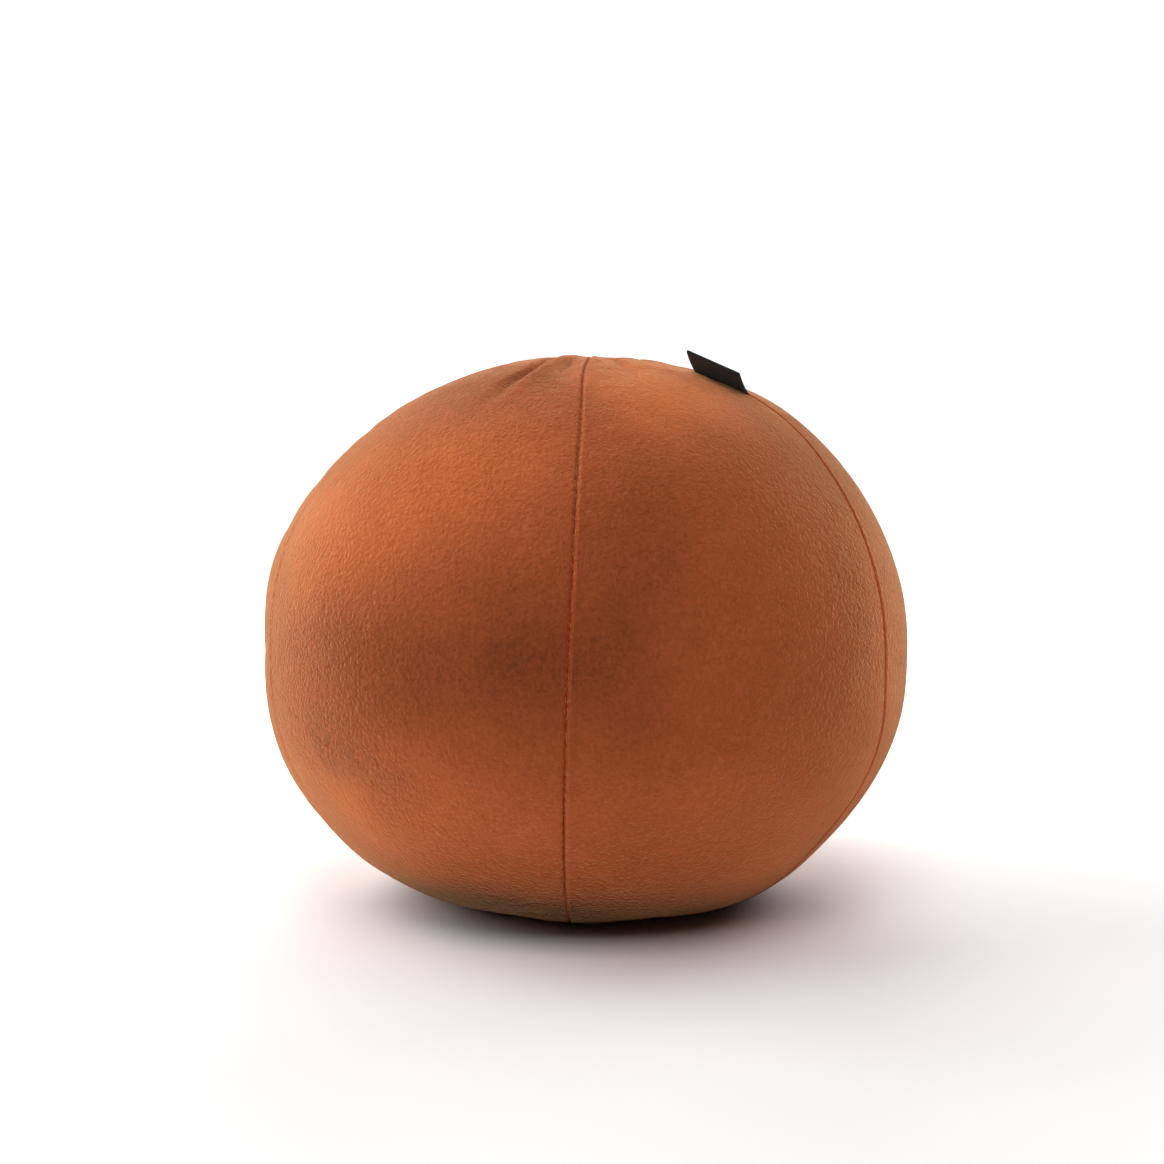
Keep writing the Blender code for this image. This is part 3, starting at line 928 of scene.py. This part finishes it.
def tab_grid(sizes):
    """Middle surface of the tape: its section runs out from the seam along a line that rises a little
    more steeply towards the edge, turns back round a half circle and returns above itself. This
    section is carried along the seam, and along a straight line at its outer edge, with a blend
    from one to the other between them."""
    ball = bpy.context.scene.cushion_ball
    latitude = np.linspace(TAB_FROM_LATITUDE, TAB_TO_LATITUDE, TAB_ROWS + 1)
    azimuth = seam_azimuth("right", latitude)
    root = settle(ball_reach(latitude, azimuth, 0.0, 0.0, ball), latitude, azimuth)
    seam_way = root[-1] - root[0]
    width = float(np.linalg.norm(seam_way))
    seam_way = seam_way / width
    outward = root.mean(axis=0) - CENTRE
    outward = outward - seam_way * (outward @ seam_way)
    outward = outward / np.linalg.norm(outward)
    sideways = np.cross(seam_way, outward)
    sideways = sideways if sideways[1] < 0 else -sideways
    half = sizes.layer_gap / 2
    out = np.linspace(0.0, 1.0, TAB_STEPS_OUT + 1)
    reach_out = sizes.length_out - half
    distance = np.concatenate([[-TAB_BURIED], out * reach_out])
    lean = np.radians(np.interp(out, [0, 1], [TAB_LEAN_AT_ROOT_DEG, TAB_LEAN_AT_EDGE_DEG]))
    lean = np.concatenate([[math.radians(60)], lean])
    steps = np.diff(distance)
    mean = (lean[1:] + lean[:-1]) / 2
    flat = np.concatenate([[0.0], np.cumsum(steps * np.cos(mean))])
    high = np.concatenate([[0.0], np.cumsum(steps * np.sin(mean))])
    flat, high = flat - flat[1], high - high[1]
    under = np.stack([flat + half * np.sin(lean), high - half * np.cos(lean)], axis=-1)
    upper = np.stack([flat - half * np.sin(lean), high + half * np.cos(lean)], axis=-1)
    turn = np.linspace(-np.pi / 2, np.pi / 2, TAB_STEPS_ROUND + 1)[1:-1]
    edge = lean[-1]
    nose_flat = flat[-1] + half * (np.cos(turn) * np.cos(edge) - np.sin(turn) * np.sin(edge))
    nose_high = high[-1] + half * (np.cos(turn) * np.sin(edge) + np.sin(turn) * np.cos(edge))
    section = np.concatenate([under, np.stack([nose_flat, nose_high], axis=-1), upper[::-1]])
    run = np.concatenate([[0.0], np.cumsum(np.linalg.norm(np.diff(section, axis=0), axis=1))])
    along_share = np.linspace(0.0, 1.0, len(latitude))[:, None]
    lift = TAB_EDGE_LIFTS[0] + (TAB_EDGE_LIFTS[1] - TAB_EDGE_LIFTS[0]) * along_share
    straight = root[0] + (root[-1] - root[0]) * along_share + outward * lift + seam_way * TAB_EDGE_SHIFT
    blend = np.clip(section[:, 0] / flat[-1], 0.0, 1.0)[None, :, None] ** 1.5
    points = (
        root[:, None, :] * (1 - blend)
        + straight[:, None, :] * blend
        + outward * TAB_ROOT_LIFT * 0.6
        + section[None, :, :1] * sideways
        + section[None, :, 1:] * outward
    )
    along = np.linspace(0.0, width, len(latitude))
    cloth = np.stack(np.broadcast_arrays(along[:, None], run[None, :]), axis=-1)
    return points, cloth, width, float(run[-1])


def tape_material(sizes):
    """Close-woven black tape: a fine rib of warp and weft and a little lint."""
    material, tree, shader = new_material("woven_tape")
    cloth = add_node(tree, "ShaderNodeUVMap", uv_map="cloth").outputs["UV"]
    weft = add_node(tree, "ShaderNodeTexWave", wave_type="BANDS", bands_direction="X")
    weft.inputs["Scale"].default_value = 350.0
    tree.links.new(cloth, weft.inputs["Vector"])
    warp = add_node(tree, "ShaderNodeTexWave", wave_type="BANDS", bands_direction="Y")
    warp.inputs["Scale"].default_value = 420.0
    tree.links.new(cloth, warp.inputs["Vector"])
    weave = combine(tree, "MULTIPLY", weft.outputs["Fac"], warp.outputs["Fac"])
    lint = noise_node(tree, cloth, 900.0, 3.0, 0.6)
    shade = combine(tree, "ADD", combine(tree, "MULTIPLY", weave, 0.6), combine(tree, "MULTIPLY", lint, 0.5))
    mix = add_node(tree, "ShaderNodeMix", data_type="RGBA")
    tree.links.new(shade, mix.inputs[0])
    mix.inputs[6].default_value = (*(0.55 * value for value in sizes.black), 1.0)
    mix.inputs[7].default_value = (*(2.2 * value for value in sizes.black), 1.0)
    tree.links.new(mix.outputs[2], shader.inputs["Base Color"])
    tree.links.new(bump_node(tree, weave, 0.6, 0.00012), shader.inputs["Normal"])
    shader.inputs["Roughness"].default_value = 0.7
    shader.inputs["Specular IOR Level"].default_value = 0.25
    shader.inputs["Sheen Weight"].default_value = 0.08
    shader.inputs["Sheen Roughness"].default_value = 0.5
    return material


# The studio sweep and its lights
SWEEP_HALF_WIDTH = 4.0
SWEEP_FRONT = -4.0
SWEEP_BACK = 2.6
SWEEP_HEIGHT = 4.0
SWEEP_BEND = 1.2
WALL_GLOW_FROM = 1.3
WALL_GLOW_FULL = 2.6
LIGHTS = (
    ("name", "x", "y", "z", "size", "power"),
    ("key", -1.8, 0.2, 1.3, 1.8, 36.2),
    ("left_back", -1.5, 1.3, 1.1, 1.6, 21.8),
    ("top", 0.1, 0.1, 2.2, 1.6, 13.4),
    ("front", 0.0, -1.3, 1.9, 1.2, 17.5),
    ("right_back", 1.5, 1.3, 1.1, 1.0, 15.7),
    ("back", 0.0, 2.2, 0.8, 1.4, 42.2),
)
AIR_COLOUR = (1.0, 1.0, 1.0)
AIR_STRENGTH = 0.02


class CUSHION_OT_stage(bpy.types.Operator):
    """Builds the pale sweep, the soft lights and the camera"""

    bl_idname = "cushion.stage"
    bl_label = "Studio stage"

    def execute(self, context):
        setup = context.scene.cushion_stage
        add_sweep(setup)
        for name, x, y, z, size, power in LIGHTS[1:]:
            add_light(name, (x, y, z), size, power)
        add_world()
        add_camera(setup)
        context.scene.view_settings.view_transform = "Standard"
        return {"FINISHED"}


def add_sweep(setup):
    """Floor and backdrop: a flat profile, a quarter circle and an upright, carried across."""
    turn = np.linspace(0.0, np.pi / 2, 17)
    bend_y = SWEEP_BACK + SWEEP_BEND * np.sin(turn)
    bend_z = SWEEP_BEND * (1 - np.cos(turn))
    profile_y = np.concatenate([[SWEEP_FRONT], bend_y, [bend_y[-1]]])
    profile_z = np.concatenate([[0.0], bend_z, [SWEEP_HEIGHT]])
    across = np.array([-SWEEP_HALF_WIDTH, SWEEP_HALF_WIDTH])
    points = np.stack(np.broadcast_arrays(across[:, None], profile_y, profile_z), axis=-1)
    index = np.arange(points.shape[0] * points.shape[1]).reshape(points.shape[:2])
    quads = np.stack([index[:-1, :-1], index[1:, :-1], index[1:, 1:], index[:-1, 1:]], axis=-1)
    material, tree, shader = new_material("sweep_paper")
    place = tree.nodes.new("ShaderNodeTexCoord").outputs["Object"]
    mix = add_node(tree, "ShaderNodeMix", data_type="RGBA")
    tree.links.new(noise_node(tree, place, 3.0, 2.0, 0.5), mix.inputs[0])
    mix.inputs[6].default_value = (*setup.sweep_white, 1.0)
    mix.inputs[7].default_value = (*(0.99 * value for value in setup.sweep_white), 1.0)
    tree.links.new(mix.outputs[2], shader.inputs["Base Color"])
    distance = add_node(tree, "ShaderNodeSeparateXYZ")
    tree.links.new(place, distance.inputs["Vector"])
    glow = remap(tree, distance.outputs["Y"], WALL_GLOW_FROM, WALL_GLOW_FULL, 0.0, setup.wall_glow)
    tree.links.new(glow, shader.inputs["Emission Strength"])
    shader.inputs["Emission Color"].default_value = (1.0, 1.0, 1.0, 1.0)
    shader.inputs["Roughness"].default_value = 0.9
    shader.inputs["Specular IOR Level"].default_value = 0.1
    sweep = put_mesh("studio_sweep", points, quads.reshape(-1, 4).tolist(), material)


def add_light(name, place, size, power):
    """A square soft light that faces the cushion."""
    light = bpy.data.lights.new(name, "AREA")
    light.size = size
    light.energy = power
    lamp = bpy.data.objects.new(name, light)
    bpy.context.scene.collection.objects.link(lamp)
    lamp.location = place
    way = Vector((0.0, 0.0, float(CENTRE[2]))) - lamp.location
    lamp.rotation_euler = way.to_track_quat("-Z", "Y").to_euler()


def add_world():
    """An even white surround."""
    world = bpy.data.worlds.new("studio_air")
    world.use_nodes = True
    ground = world.node_tree.nodes["Background"]
    ground.inputs["Color"].default_value = (*AIR_COLOUR, 1.0)
    ground.inputs["Strength"].default_value = AIR_STRENGTH
    bpy.context.scene.world = world


def add_camera(setup):
    """The camera at the photograph's place, looking along +Y and a little down."""
    camera = bpy.data.cameras.new("camera")
    camera.lens = setup.lens
    camera.sensor_width = 36.0
    stand = bpy.data.objects.new("camera", camera)
    bpy.context.scene.collection.objects.link(stand)
    stand.location = setup.camera_place
    stand.rotation_euler = (math.pi / 2 - setup.camera_pitch, 0.0, 0.0)
    bpy.context.scene.camera = stand


class CUSHION_PT_panel(bpy.types.Panel):
    """The cushion's pieces and their settings"""

    bl_idname = "CUSHION_PT_panel"
    bl_label = "Velvet ball cushion"
    bl_space_type = "VIEW_3D"
    bl_region_type = "UI"
    bl_category = "Cushion"

    def draw(self, context):
        for operator in OPERATORS:
            self.layout.operator(operator.bl_idname)
        for group in SETTINGS:
            settings = getattr(context.scene, group)
            box = self.layout.box()
            for key in settings.bl_rna.properties.keys():
                if key not in ("rna_type", "name"):
                    box.prop(settings, key)


SETTINGS = {
    "cushion_ball": BallSizes,
    "cushion_velvet": VelvetFinish,
    "cushion_tab": TabSizes,
    "cushion_stage": StageSetup,
}
OPERATORS = (CUSHION_OT_stage, CUSHION_OT_ball, CUSHION_OT_thread, CUSHION_OT_tab)
CLASSES = (*SETTINGS.values(), *OPERATORS, CUSHION_PT_panel)


def register():
    """Registers the classes and hangs the settings on the scene."""
    for kind in CLASSES:
        bpy.utils.register_class(kind)
    for name, kind in SETTINGS.items():
        setattr(bpy.types.Scene, name, PointerProperty(type=kind))


def unregister():
    """Takes the settings and the classes away again."""
    for name in SETTINGS:
        delattr(bpy.types.Scene, name)
    for kind in reversed(CLASSES):
        bpy.utils.unregister_class(kind)


def main():
    """Builds everything in order."""
    register()
    bpy.ops.cushion.stage()
    bpy.ops.cushion.ball()
    bpy.ops.cushion.thread()
    bpy.ops.cushion.tab()


if __name__ == "__main__":
    main()
